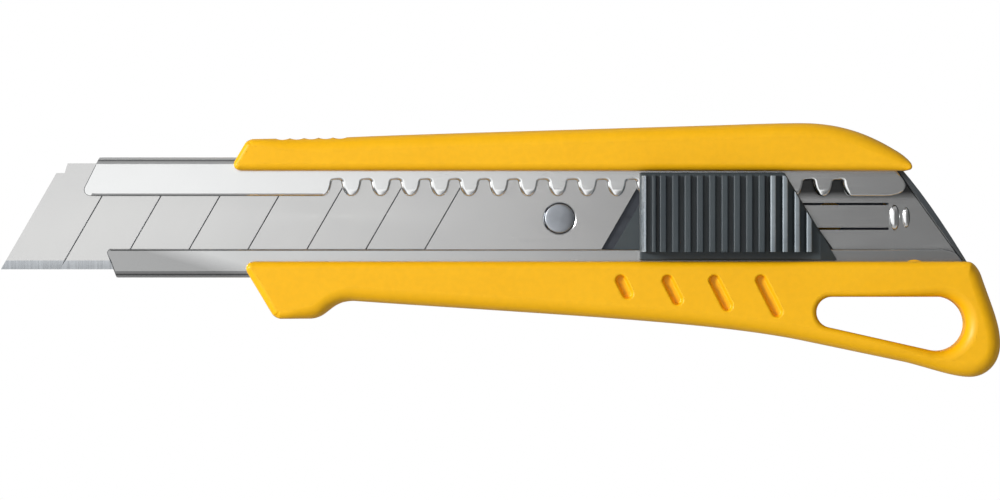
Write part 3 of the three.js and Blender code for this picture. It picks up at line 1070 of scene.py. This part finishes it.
@dataclass
class Channel:
    """The folded channel: a bent sheet with a toothed opening, a sprung tongue and two stop ridges."""

    half: float = 10.2
    bottom: float = 3.8
    top: float = 7.5
    bend: float = 1.35
    sheet: float = 0.8
    lips: Point = (-5.43, 3.62)  # free edges of the lower and upper lips
    split: float = 6.3  # the back ends below this height, and the lips above it
    rack_first: float = 56.95
    rack_pitch: float = 5.0
    rack_root: float = 6.4
    notches: int = 18
    edges: Triple = (0.1, 0.3, 0.8)  # roundings: the cut front ends, the rest, and the teeth's front flanks
    straight_edge: float = 0.55  # rounding of the upper lip's free edge before the rack
    front_zone: Point = (15.5, 18.6)  # the cut front ends lie before these: the upper lip's, the lower lip's
    sheared_before: float = 18.9
    tongue: Triple = (131.0, 150.8, 2.3)  # front, rear, half width
    tongue_y: float = 0.2
    slit: float = 0.4
    ridges: tuple[tuple[float, float, float, float], ...] = (  # x, length, width, height
        (151.8, 1.8, 4.4, 0.5),
        (153.8, 1.3, 3.5, 0.4),
    )

    def butt(self, y: float) -> Point:
        """Returns the point of the channel's slanting rear end at a given y."""
        return (154.1 - 0.72 * (y - 5.2), y)

    def notch(self, outline: Outline, x: float) -> None:
        """Adds one gap of the rack to an outline: narrow at its root, wide round the teeth's tips.

        Args:
            outline: The outline, which ends on the lip's free edge.
            x: The gap's middle.
        """
        low, root = self.lips[1], self.rack_root
        outline.curve((x - 1.35, low), (x - 0.95, low + 1.3), (x - 0.8, root - 0.3), 14)
        outline.bend((x - 0.72, root), (x - 0.42, root), 5).line(x + 0.42, root)
        outline.bend((x + 0.72, root), (x + 0.8, root - 0.3), 5)
        outline.curve((x + 0.95, low + 1.3), (x + 1.35, low), (x + 2.5, low), 14)

    def opening(self) -> Outline:
        """Draws what the front face lacks.

        Returns:
            The outline of all that lies before the lips, between them and behind them.
        """
        low, high = self.lips
        o = Outline().start(0, 12).line(17.7, 12).line(14.3, 5.2).bend((13.6, high), (15.6, high))
        o.line(self.rack_first - self.rack_pitch / 2, high)
        for i in range(self.notches):
            self.notch(o, self.rack_first + i * self.rack_pitch)
        o.line(149.8, high).bend(self.butt(high), self.butt(6.4)).line(*self.butt(12))
        o.line(180, 12).line(180, -12).line(*self.butt(-12)).line(*self.butt(low - 1))
        o.bend(self.butt(low), (self.butt(low)[0] - 2, low)).line(18.9, low)
        return o.bend((17.7, low), (18.2, low - 0.9)).line(20.4, -12).line(0, -12)

    def edge(self, x: float, y: float) -> float:
        """Says how soft the lips' edge is.

        Args:
            x: The drawn x, in millimetres.
            y: The drawn y, in millimetres.

        Returns:
            The edge radius there.
        """
        front_end, plain, flank = self.edges
        upper_front, lower_front = self.front_zone
        on_straight = 0 < y < self.lips[1] + 0.1 and x < self.rack_first
        if x < lower_front and not (on_straight and x > upper_front):
            return front_end
        across = (x - self.rack_first + self.rack_pitch / 2) % self.rack_pitch - self.rack_pitch / 2
        in_rack = self.rack_first - 2.2 < x < self.rack_first + self.notches * self.rack_pitch - 2.2
        if y > 0 and in_rack:
            ramps = ((across + 0.2) / 0.9, (2.3 - across) / 0.8, (self.rack_root + 0.2 - y) / 0.5)
            return plain + (flank - plain) * math.prod(min(1.0, max(0.0, r)) for r in ramps)
        return self.straight_edge if on_straight else plain

    def tube(self, name: str, wall: float, radius: float, ends: Point) -> Piece:
        """Makes a bar with the channel's rounded section, drawn in by a wall.

        Args:
            name: The bar's name.
            wall: How far it is drawn in, in millimetres.
            radius: Its corners' radius.
            ends: Where it starts and ends in x.

        Returns:
            The bar.
        """
        side, low, high = self.half - wall, self.bottom + wall, self.top - wall
        section = rounded_polygon([(-side, low), (side, low), (side, high), (-side, high)], radius, 8)
        return skin(name, [[at(x, y, z) for y, z in section.closed()] for x in ends])

    def ridge(self, x: float, length: float, width: float, height: float) -> Piece:
        """Makes one stop ridge on the channel's floor.

        Args:
            x: Its middle.
            length: Its size along x.
            width: Its size along y.
            height: How far it stands above the floor.

        Returns:
            The ridge.
        """
        floor = self.bottom + self.sheet
        turn = [2 * math.pi * i / 40 for i in range(40)]
        loops = []
        for rise in range(-24, 88, 8):
            round_, up = math.cos(math.radians(rise)), math.sin(math.radians(rise))
            reach = (length / 2 * round_, width / 2 * round_)
            loops.append(
                [at(x + reach[0] * math.cos(a), reach[1] * math.sin(a), floor + height * up) for a in turn]
            )
        return skin("ridge", loops)

    def cutters(self) -> list[Piece]:
        """Makes what is cut from the bar.

        Returns:
            Its room, its opening, both ends and the slits round the tongue.
        """
        opening = self.opening()
        below = [at(*p, self.split) for p in opening.closed()]
        front = Outline(spacing=50).start(0, 12).line(16.9, 12).line(20.1, -12).line(0, -12)
        rear = Outline(spacing=50).start(*self.butt(12)).line(*self.butt(-12)).line(200, -12).line(200, 12)
        tail, tip, half = self.tongue
        upper, lower = self.tongue_y + half, self.tongue_y - half
        low, high = self.bottom - 1, self.bottom + self.sheet + 0.3
        return [
            self.tube("room", self.sheet, self.bend - self.sheet, (4, 176)),
            skin("opening", [below, *flare(opening, self.edge, self.top, 1)]),
            soft_prism("front", front, 0, self.split + 0.05),
            soft_prism("rear", rear, 0, self.split + 0.05),
            brick("slit_upper", (tail, upper - self.slit, low), (tip, upper, high)),
            brick("slit_lower", (tail, lower, low), (tip, lower + self.slit, high)),
            brick("slit_front", (tail, lower, low), (tail + self.slit, upper, high)),
        ]

    def build(self, finish: Material, sheared_and_shaded: Material) -> Piece:
        """Makes the channel, with its lips' sheared front ends rough and darkened by painted shade.

        Args:
            finish: The finish.
            sheared_and_shaded: The finish of the sheared ends: rough, with a dark tone that paints shade.

        Returns:
            The fitted piece.
        """
        piece = self.tube("channel", 0, self.bend, (5, 175))
        for cutter in self.cutters():
            combine(piece, cutter, Operation.CUT)
        for ridge in self.ridges:
            combine(piece, self.ridge(*ridge), Operation.JOIN)
        smooth(piece, 28)
        fit(piece, Body.HANDLE, finish, ["blade_channel"])
        piece.data.materials.append(sheared_and_shaded)
        # the lips' cut front ends get a rough finish, and its dark tone is painted shade
        end = at(self.sheared_before, 0, self.split)
        for face in piece.data.polygons:
            if face.center.x < end.x and face.center.z > end.z and face.normal.x < -0.1:
                face.material_index = 1
        return piece


@dataclass
class Blade:
    """The snap-off blade, and the stud that carries it."""

    stud: Triple = (94.85, -0.15, 2.5)  # x, y, radius
    face: float = 6.3  # the blade's upper face
    bevels_below: float = -7.35  # the ground bevels lie beyond this y
    bevel_lean: Point = (0.05, 0.6)  # how far the bevels' normals lean towards y
    score_lean: tuple[Point, Point] = ((0.3, 0.8), (0.15, 0.6))  # how far the scores' far walls lean to x, y
    head: float = 0.28  # how far the stud's rounded edge stands above the blade
    head_edge: float = 0.2

    def strip(
        self,
        finish: Material,
        ground: Material,
        score_shade: Material,
    ) -> Piece:
        """Makes the scored strip.

        Args:
            finish: The flat faces' finish.
            ground: The finish of the bevels on the cutting edge.
            score_shade: The finish of the scores' far walls, darker as painted shade.

        Returns:
            The fitted piece.
        """
        piece = refined("snap_off_blade", "blade")
        x, y, r = self.stud
        sink = [(r + 0.1, self.face - 0.6), (r + 0.12, self.face - 0.1), (r + 0.42, self.face + 0.04)]
        combine(piece, turned("sink", sink, x, y, FINE), Operation.CUT)
        smooth(piece, 12)
        fit(piece, Body.CARRIAGE, finish, ["snap_off_blade"])
        piece.data.materials.append(ground)
        piece.data.materials.append(score_shade)
        edge = at(0, self.bevels_below, 0).y
        flat, steep = self.bevel_lean
        (x_low, x_high), (y_low, y_high) = self.score_lean
        # the bevels get the honed finish; the scores' far walls get a darker one, which is painted shade
        for face in piece.data.polygons:
            lean_x, lean_y = face.normal.x, abs(face.normal.y)
            if face.center.y < edge and abs(lean_x) < 0.1 and flat < lean_y < steep:
                face.material_index = 1
            elif x_low < lean_x < x_high and y_low < lean_y < y_high and face.normal.z > 0.2:
                face.material_index = 2
        return piece

    def stud_head(self, finish: Material) -> Piece:
        """Makes the stud: a flared tail, a shank and a nearly flat head with a rounded edge.

        Args:
            finish: The finish.

        Returns:
            The fitted piece.
        """
        x, y, r = self.stud
        low, seat = 4.73, 5.73
        top, roll = self.face + self.head, self.head_edge
        profile = [(1.95, low), (1.4, low + 0.55), (1.4, seat), (r - 0.05, seat), (r, seat + 0.05)]
        turn = [math.radians(a) for a in (0, 18, 36, 54, 72, 88)]
        rolled = [(r - roll * (1 - math.cos(a)), top - roll + roll * math.sin(a)) for a in turn]
        crown = [(q, top + 0.02 + 0.05 * (1 - (q / 2.2) ** 2)) for q in (2.1, 1.7, 1.2, 0.7, 0.2)]
        piece = turned("stud", profile + rolled + crown, x, y, FINE)
        smooth(piece, 40)
        return fit(piece, Body.CARRIAGE, finish, ["blade_stud"])


# ---- Slider ----


@dataclass
class ThumbSlider:
    """The ribbed slider: a low foot, a raised grip with upright ribs, and a slope that falls to the butt."""

    bottom: float = 7.6
    foot_top: float = 10.6
    top: float = 15.5
    front: float = 108.4
    foot: Point = (-7.3, 7.6)
    grip: Point = (-5.85, 7.02)
    slope_from: float = 130.2
    slope_end: Point = (142.4, 9.6)
    ribs: int = 9
    rib_pitch: float = 2.08
    rib_first: float = 112.27
    rib_half: float = 0.57
    lead_rib: Point = (110.76, 0.36)  # the first, narrow rib: its middle and half width
    groove: float = 1.15
    last_groove: float = 1.9
    slope_ribs: int = 4
    slope_sink: float = 0.65
    slope_first: float = 130.8
    slope_pitch: float = 2.07
    spring: float = 121.95  # x of the middle of the room for the cams
    arm_fronts: Point = (117, 124)
    arm_length: float = 3
    foot_edges: Point = (0.5, 0.3)  # edge radii on the cutting side and on the spine side
    edge_bevel: float = 0.09

    @property
    def fall(self) -> float:
        """Returns the slope's drop for each millimetre towards the butt."""
        return (self.top - self.slope_end[1]) / (self.slope_end[0] - self.slope_from)

    def rear(self, y: float) -> float:
        """Returns the slanting rear end's x at a given y."""
        return 132.9 + (self.foot[1] - y) * 0.604

    def plan(self, low: float, high: float, back: float) -> Outline:
        """Returns the slider's outline seen from above, between two edges and short of the rear end."""
        corners = [(self.front, low), (self.rear(low) - back, low), (self.rear(high) - back, high)]
        return rounded_polygon([*corners, (self.front, high)], 0.35)

    def side(self) -> Outline:
        """Draws the grip from the side.

        Returns:
            Its outline, with its ribs and their round tops.
        """
        base = self.top - self.groove
        wall = self.front
        o = Outline(spacing=50).start(wall + 0.05, self.bottom).line(wall + 0.6, self.top - 0.9)
        o.bend((wall + 0.7, self.top - 0.35), (wall + 1.05, self.top - 0.4), 5)
        o.line(wall + 1.2, base)
        places = [self.rib_first + i * self.rib_pitch for i in range(self.ribs)]
        for x, half in [self.lead_rib, *[(x, self.rib_half) for x in places]]:
            o.line(x - half - 0.08, base).line(x - half, self.top - 0.2)
            o.bend((x - half, self.top), (x - half + 0.22, self.top), 4).line(x + half - 0.22, self.top)
            o.bend((x + half, self.top), (x + half, self.top - 0.2), 4)
            if x != places[-1]:
                o.line(x + half + 0.08, base)
        last = places[-1] + self.rib_half
        floor = self.top - self.last_groove
        o.line(last + 0.15, floor).line(self.slope_from - 0.05, floor)
        for i in range(self.slope_ribs):
            x = self.slope_first + i * self.slope_pitch
            z = self.top - self.slope_sink - (x - self.slope_from) * self.fall
            o.line(x - 0.52, z - 0.02).line(x - 0.45, z + 0.42)
            o.bend((x - 0.42, z + 0.68), (x - 0.15, z + 0.66), 4).line(x + 0.3, z + 0.45)
            o.bend((x + 0.5, z + 0.36), (x + 0.52, z + 0.1), 4).line(x + 0.54, z - 0.28)
        x_end, z_end = self.slope_end
        return o.line(x_end, z_end - self.slope_sink).line(x_end, self.bottom)

    def extruded(self, name: str, outline: Outline, low: float, high: float) -> Piece:
        """Makes a bar with the side outline, from one y to another."""
        points = outline.closed()
        return skin(name, [[at(x, y, z) for x, z in points] for y in (low, high)])

    def hollows(self) -> list[Piece]:
        """Makes what is cut from below.

        Returns:
            The room for the core, the room for the cams, and a rebate over the nib.
        """
        spring = self.spring
        cams = Outline(spacing=50).start(spring - 3.5, 3.9).line(spring + 3.5, 3.9)
        cams.line(spring + 1.9, 6.5).line(spring - 1.9, 6.5)
        return [
            brick("room", (self.front + 1.3, -5.6, 0), (133.7, 4, 12.2)),
            soft_prism("cams", cams, 0, 9.35),
            brick("rebate", (100, -9, 0), (150, -6.9, 8.5)),
        ]

    def arms(self) -> list[Piece]:
        """Makes the snap arms that hook into the core.

        Returns:
            The boxes that make up the arms.
        """
        sections = (
            ((-3.1, 8.2), (-2.2, 12.4)),
            ((-3.7, 8.8), (-3, 9.5)),
            ((0.9, 9.4), (1.7, 12.4)),
            ((1.6, 9.9), (2.2, 10.4)),
        )
        return [
            brick("arm", (x, *low), (x + self.arm_length, *high))
            for x in self.arm_fronts
            for low, high in sections
        ]

    def paint_wear_and_highlight(self, piece: Piece, finish: Material) -> None:
        """Gives the slope's rib crests and the raked front a lighter, glossier finish: wear on the crests,
        and painted highlight on both.

        Args:
            piece: The slider.
            finish: The finish of the worn faces, lighter as painted highlight.
        """
        piece.data.materials.append(finish)
        for face in piece.data.polygons:
            x, y, z = (face.center - ORIGIN) / MM
            slope = self.top - self.slope_sink - (x - self.slope_from) * self.fall
            on_grip = self.grip[0] - 0.1 < y < self.grip[1] + 0.1
            # crests: real wear plus painted highlight; the raked front: painted highlight
            crest = x > self.slope_from and z > slope + 0.3 and face.normal.z > 0.3
            front = x < self.front + 1.0 and z > self.foot_top and face.normal.x < -0.2
            if on_grip and (crest or front):
                face.material_index = 1

    def foot_radius(self, x: float, y: float) -> float:
        """Returns the foot's edge radius at a drawn point."""
        return self.foot_edges[0] if y < 0 else self.foot_edges[1]

    def build(self, finish: Material, worn_highlight: Material) -> Piece:
        """Makes the slider.

        Args:
            finish: The finish.
            worn_highlight: The finish of the rib crests and the raked front: wear, and a lighter tone that
                paints their highlight.

        Returns:
            The fitted piece.
        """
        plan = self.plan(*self.foot, 0)
        foot = soft_prism("slider", plan, self.bottom, self.foot_top, top=self.foot_radius, steps=4)
        slope = Outline(spacing=50).start(100, 0).line(150, 0)
        for x in (150, 100):
            slope.line(x, self.top - self.slope_sink - (x - self.slope_from) * self.fall)
        combine(foot, self.extruded("foot_slope", slope, -20, 20), Operation.KEEP)
        grip = self.extruded("grip", self.side(), *self.grip)
        plan = soft_prism("grip_plan", self.plan(-20, 20, 0.3), 0, 30)
        combine(grip, plan, Operation.KEEP)
        combine(foot, grip, Operation.JOIN)
        for hollow in self.hollows():
            combine(foot, hollow, Operation.CUT)
        for arm in self.arms():
            combine(foot, arm, Operation.JOIN)
        edit(
            foot,
            lambda: bpy.ops.mesh.remove_doubles(threshold=MERGE),
            lambda: bpy.ops.mesh.dissolve_limited(angle_limit=FLAT),
        )
        soften(foot, self.edge_bevel, segments=2, angle=50)
        smooth(foot, 34)
        fit(foot, Body.KNOB, finish, ["thumb_slider"])
        self.paint_wear_and_highlight(foot, worn_highlight)
        return foot


@dataclass
class SmallParts:
    """The slider's core and the butt cap."""

    core_bevel: float = 0.15
    cap_bevel: float = 0.1

    def core(self, finish: Material) -> Piece:
        """Makes the slider's core with softened edges.

        Args:
            finish: The finish.

        Returns:
            The fitted piece.
        """
        piece = refined("slider_core", "core", self.core_bevel)
        smooth(piece)
        return fit(piece, Body.CARRIAGE, finish, ["slider_core"])

    def cap(self, finish: Material) -> Piece:
        """Makes the butt cap with a soft outer edge.

        Args:
            finish: The finish.

        Returns:
            The fitted piece.
        """
        piece = refined("end_cap", "butt_cap", self.cap_bevel)
        smooth(piece)
        return fit(piece, Body.CAP, finish, ["end_cap"])


# ---- Studio ----


@dataclass(frozen=True)
class Lamp:
    """A soft rectangular light, in metres and watts. It faces the knife unless it hangs level."""

    name: str
    place: Triple
    size: Point
    power: float
    level: bool = False

    def hang(self) -> None:
        """Adds the light to the scene."""
        data = bpy.data.lights.new(self.name, "AREA")
        data.shape = "RECTANGLE"
        data.size, data.size_y = self.size
        data.energy = self.power
        lamp = bpy.data.objects.new(self.name, data)
        lamp.location = self.place
        if not self.level:
            lamp.rotation_euler = Vector(self.place).to_track_quat("Z", "Y").to_euler()
        bpy.context.scene.collection.objects.link(lamp)


@dataclass
class Studio:
    """A pale floor, soft light and a camera straight above the knife."""

    lens: float = 300.0
    sensor: float = 36.0
    width: float = 0.1698  # what the picture spans at the knife's middle height
    middle: Triple = (84.75, -5.52, 6.0)
    reach: float = 10.0
    floor_tone: float = 0.45
    floor_size: float = 8.0
    floor_gap: float = 0.0002  # between the floor and the handle's back
    sky: float = 0.15
    lamps: tuple[Lamp, ...] = (
        Lamp("overhead", (-1.68, 0, 1.7), (3.4, 1.2), 12.3, level=True),
        Lamp("key", (-1.1, 0.35, 1.0), (0.35, 0.35), 19.3),
        Lamp("front", (-2.3, -0.1, 0.75), (1.1, 1.1), 6),
        Lamp("spine_side", (0, 1.3, 1.45), (3.6, 1.35), 3.3),
        Lamp("edge_side", (0, -1.3, 1.45), (3.6, 1.35), 5),
    )

    def camera(self) -> None:
        """Puts the camera straight above the knife's middle."""
        data = bpy.data.cameras.new("camera")
        data.lens = self.lens
        data.sensor_width = self.sensor
        data.clip_end = self.reach
        camera = bpy.data.objects.new("camera", data)
        camera.location = at(*self.middle) + Vector((0, 0, self.width * self.lens / self.sensor))
        bpy.context.scene.collection.objects.link(camera)
        bpy.context.scene.camera = camera

    def floor(self) -> None:
        """Lays a white floor under the knife. It glows for the camera, and is dim for all other light."""
        deselect()
        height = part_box("handle_body")[0].z - self.floor_gap
        bpy.ops.mesh.primitive_plane_add(size=self.floor_size, location=(0, 0, height))
        floor = bpy.context.object
        floor.name = floor.data.name = "floor"
        material = bpy.data.materials.new("pale_floor")
        material.use_nodes = True
        nodes, links = material.node_tree.nodes, material.node_tree.links
        nodes.clear()
        matt = nodes.new("ShaderNodeBsdfDiffuse")
        matt.inputs["Color"].default_value = (self.floor_tone, self.floor_tone, self.floor_tone, 1)
        glow = nodes.new("ShaderNodeEmission")
        seen = nodes.new("ShaderNodeLightPath").outputs["Is Camera Ray"]
        mix = nodes.new("ShaderNodeMixShader")
        output = nodes.new("ShaderNodeOutputMaterial")
        links.new(seen, mix.inputs["Fac"])
        links.new(matt.outputs["BSDF"], mix.inputs[1])
        links.new(glow.outputs["Emission"], mix.inputs[2])
        links.new(mix.outputs["Shader"], output.inputs["Surface"])
        floor.data.materials.append(material)

    def build(self) -> None:
        """Sets up the whole studio."""
        scene = bpy.context.scene
        scene.view_settings.view_transform = "Standard"
        world = bpy.data.worlds.new("studio")
        world.use_nodes = True
        background = world.node_tree.nodes["Background"]
        background.inputs["Color"].default_value = (1, 1, 1, 1)
        background.inputs["Strength"].default_value = self.sky
        scene.world = world
        for lamp in self.lamps:
            lamp.hang()
        self.floor()
        self.camera()


def main() -> None:
    """Builds the knife and its studio, piece by piece."""
    logging.basicConfig(level=logging.INFO, format="%(message)s")
    yellow = MouldedPlastic("yellow_abs", (255, 191, 14), (252, 187, 10), (0.34, 0.44), shine=0.35).material()
    dark = MouldedPlastic("dark_nylon", (64, 72, 76), (54, 62, 67), (0.34, 0.46)).material()
    # glossier worn nylon, with a lighter tone that paints the highlight on the rib crests and the raked front
    worn_highlight = MouldedPlastic("rubbed_nylon_painted_highlight", (168, 178, 184), (128, 138, 146), (0.22, 0.36)).material()
    black = MouldedPlastic("black_nylon", (62, 67, 71), (54, 59, 63), (0.42, 0.6)).material()
    # the channel's steel, with painted shade under its toothed lip and on its lower lip
    stainless = Steel(
        "brushed_stainless", (239, 240, 240), (233, 234, 234), (0.16, 0.19), contrast=0.03, folded=True
    ).material()
    ground = Steel("ground_blade", (216, 216, 215), (210, 210, 210), (0.18, 0.21), contrast=0.03).material()
    bevel = Steel(
        "honed_bevel", (202, 206, 210), (194, 199, 204), (0.24, 0.34), (3200, 120, 120), contrast=0.22
    ).material()
    # rough sheared ends, with a dark tone that paints shade
    sheared_and_shaded = Steel("sheared_edge_painted_shade", (92, 96, 100), (80, 84, 88), (0.8, 0.9)).material()
    # painted shade on the scores' far walls
    score_shade = Steel("score_wall_painted_shade", (124, 126, 130), (110, 112, 116), (0.5, 0.6)).material()
    plain = Steel("plain_steel", (180, 185, 192), (168, 173, 180), (0.28, 0.36), (700, 900, 900)).material()
    # holder plate darkened: painted shade in the gap between the blade's tail and the slider
    plate_shade = Steel("holder_plate_painted_shade", (84, 87, 93), (66, 69, 75), (0.36, 0.5), (500, 900, 900)).material()
    # spare blades darkened: painted shade, seen through the tongue's slits
    spare_shade = Steel("spare_blade_painted_shade", (58, 60, 66), (44, 46, 52), (0.4, 0.55), (300, 1400, 1400)).material()

    Handle().build(yellow)
    Channel().build(stainless, sheared_and_shaded)
    blade = Blade()
    blade.strip(ground, bevel, score_shade)
    blade.stud_head(plain)
    ThumbSlider().build(dark, worn_highlight)
    small = SmallParts()
    small.core(dark)
    small.cap(black)
    kept = {
        "spare_blade_1": spare_shade,
        "spare_blade_2": spare_shade,
        "holder_plate": plate_shade,
        "lock_spring": plain,
        "core_rivet_front": plain,
        "core_rivet_rear": plain,
    }
    for node, material in kept.items():
        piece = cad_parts[node]
        piece.data.materials.clear()
        piece.data.materials.append(material)
    Studio().build()


if __name__ == "__main__":
    main()
